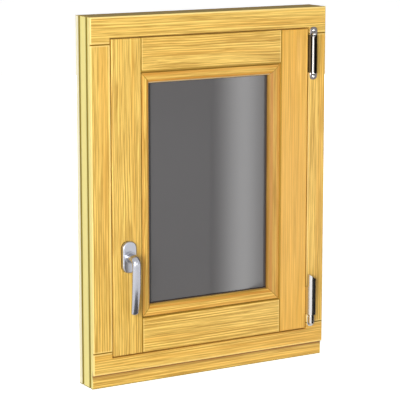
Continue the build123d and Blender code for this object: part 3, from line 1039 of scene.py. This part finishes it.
def area_light(name, at, target, width, height, watts):
    """A soft rectangular light that faces a point."""
    data = bpy.data.lights.new(name, "AREA")
    data.shape = "RECTANGLE"
    data.size = width
    data.size_y = height
    data.energy = watts
    lamp = bpy.data.objects.new(name, data)
    lamp.location = at
    lamp.rotation_euler = (Vector(target) - Vector(at)).to_track_quat("-Z", "Y").to_euler()
    bpy.context.scene.collection.objects.link(lamp)
    return lamp


def reflected_card(name, centre, turn, size, material):
    """A card that only shows in reflections.

    A turn of None lays it flat, and zero stands it facing ahead."""
    bm = bmesh.new()
    bmesh.ops.create_grid(bm, x_segments=1, y_segments=1, size=0.5)
    mesh = bpy.data.meshes.new(name)
    bm.to_mesh(mesh)
    bm.free()
    mesh.materials.append(material)
    card = bpy.data.objects.new(name, mesh)
    card.scale = (*size, 1)
    card.rotation_euler = (0, 0, 0) if turn is None else (pi / 2, 0, radians(turn))
    card.location = centre
    for ray in ("camera", "diffuse", "shadow", "transmission", "volume_scatter"):
        setattr(card, "visible_" + ray, False)
    bpy.context.scene.collection.objects.link(card)


def card_light(name, middle, border):
    """Light on a card, brightest along its upright middle and fading out towards both long sides."""
    material, tree = new_material(name)
    place = add_node(tree, "ShaderNodeTexCoord").outputs["Object"]
    across = add_node(tree, "ShaderNodeSeparateXYZ", Vector=place).outputs["X"]
    reach = add_node(tree, "ShaderNodeMath", operation="ABSOLUTE", Value=across)
    glow = add_node(
        tree,
        "ShaderNodeMapRange",
        interpolation_type="SMOOTHSTEP",
        Value=reach,
        From_Min=0.5,
        From_Max=0.0,
        To_Min=border,
        To_Max=middle,
    )
    lamp = add_node(tree, "ShaderNodeEmission", Color=linear("#FFFFFF"), Strength=glow)
    add_node(tree, "ShaderNodeOutputMaterial", Surface=lamp)
    return material


def matt_card(name, colour):
    """Matt card that keeps light off what reflects it."""
    material, tree = new_material(name)
    card = add_node(tree, "ShaderNodeBsdfPrincipled", Base_Color=linear(colour), Roughness=0.9)
    add_node(tree, "ShaderNodeOutputMaterial", Surface=card)
    return material


def make_lights(settings):
    """A broad key from the left of the camera, with cards for the glass and the metal to reflect."""
    area_light("key", (-4.5, -4.9, 1.6), WINDOW_MIDDLE, 2.4, 2.4, 200 * settings.key)
    area_light("front", (0.3, -4.0, 0.9), WINDOW_MIDDLE, 1.5, 2.0, 8 * settings.key)
    area_light("back", (2.5, 5.0, 0.7), WINDOW_MIDDLE, 2.0, 1.4, 100 * settings.key)
    # The bright band in the glass, and the light side of the handle
    strip = card_light("strip_light", 5.2, 1.0)
    reflected_card("strip", (0.46, -0.605, 0.3), -32, (0.38, 0.6), strip)
    side = card_light("side_light", 7.0, 4.0)
    reflected_card("side_card", (-1.9, -1.6, 0.6), 50, (0.9, 1.5), side)
    # A small lamp beside the upper hinge draws the highlight along its polished barrel
    glint = area_light("glint", (0.212, -0.056, 0.672), (0.3, -0.056, 0.672), 0.036, 0.084, 0.17)
    glint.visible_diffuse = False
    # Dark cards shade the glass, the top, the lever's lower end and the hinges' right sides
    black = matt_card("black_card", "#0C0C0C")
    grey = matt_card("grey_card", "#8E9094")
    reflected_card("flag", (0.62, 0.3, 0.5), -90, (1.0, 1.1), black)
    reflected_card("top_flag", (0, 0.1, 0.87), 0, (0.7, 0.16), black)
    reflected_card("grip_flag", (-0.165, -0.17, 0.12), None, (0.15, 0.18), grey)
    for name, height, tall in (("upper", 0.674, 0.083), ("lower", 0.125, 0.125)):
        reflected_card(name + "_hinge_flag", (0.274, -0.07, height), 0, (0.063, tall), black)
        reflected_card(name + "_side_flag", (0.306, -0.055, height), 90, (0.03, tall), black)


def make_camera(scene, settings):
    """The photograph's view, from the left and a little above."""
    data = bpy.data.cameras.new("photo_camera")
    data.sensor_width = 36
    data.lens = CAMERA_LENS
    camera = bpy.data.objects.new("photo_camera", data)
    camera.location = CAMERA_PLACE
    camera.rotation_euler = (pi / 2 - settings.tilt, 0, -settings.turn)
    scene.collection.objects.link(camera)
    scene.camera = camera
    scene.view_settings.view_transform = "Standard"


class WINDOW_PT_panel(bpy.types.Panel):
    """The steps and their settings"""

    bl_idname = "WINDOW_PT_panel"
    bl_label = "Pine window"
    bl_space_type = "VIEW_3D"
    bl_region_type = "UI"
    bl_category = "Window"

    def draw(self, context):
        for step in STEPS:
            self.layout.operator(step.bl_idname)
        for group in GROUPS:
            settings = getattr(context.scene, group)
            box = self.layout.box()
            for name in settings.bl_rna.properties.keys():
                if name not in ("rna_type", "name"):
                    box.prop(settings, name)


GROUPS = {
    "window_timber": WindowTimber,
    "window_metal": WindowMetal,
    "window_glazing": WindowGlazing,
    "window_stage": WindowStage,
}
STEPS = (
    WINDOW_OT_timber,
    WINDOW_OT_glazing,
    WINDOW_OT_rain_rail,
    WINDOW_OT_handle,
    WINDOW_OT_hinges,
    WINDOW_OT_stage,
)


def register():
    for cls in (*GROUPS.values(), *STEPS, WINDOW_PT_panel):
        bpy.utils.register_class(cls)
    for name, group in GROUPS.items():
        setattr(bpy.types.Scene, name, PointerProperty(type=group))


def unregister():
    for name in GROUPS:
        delattr(bpy.types.Scene, name)
    for cls in reversed((*GROUPS.values(), *STEPS, WINDOW_PT_panel)):
        bpy.utils.unregister_class(cls)


def main():
    """Finish the window piece by piece."""
    register()
    bpy.ops.window.timber()
    bpy.ops.window.glazing()
    bpy.ops.window.rain_rail()
    bpy.ops.window.handle()
    bpy.ops.window.hinges()
    bpy.ops.window.stage()


if __name__ == "__main__":
    main()
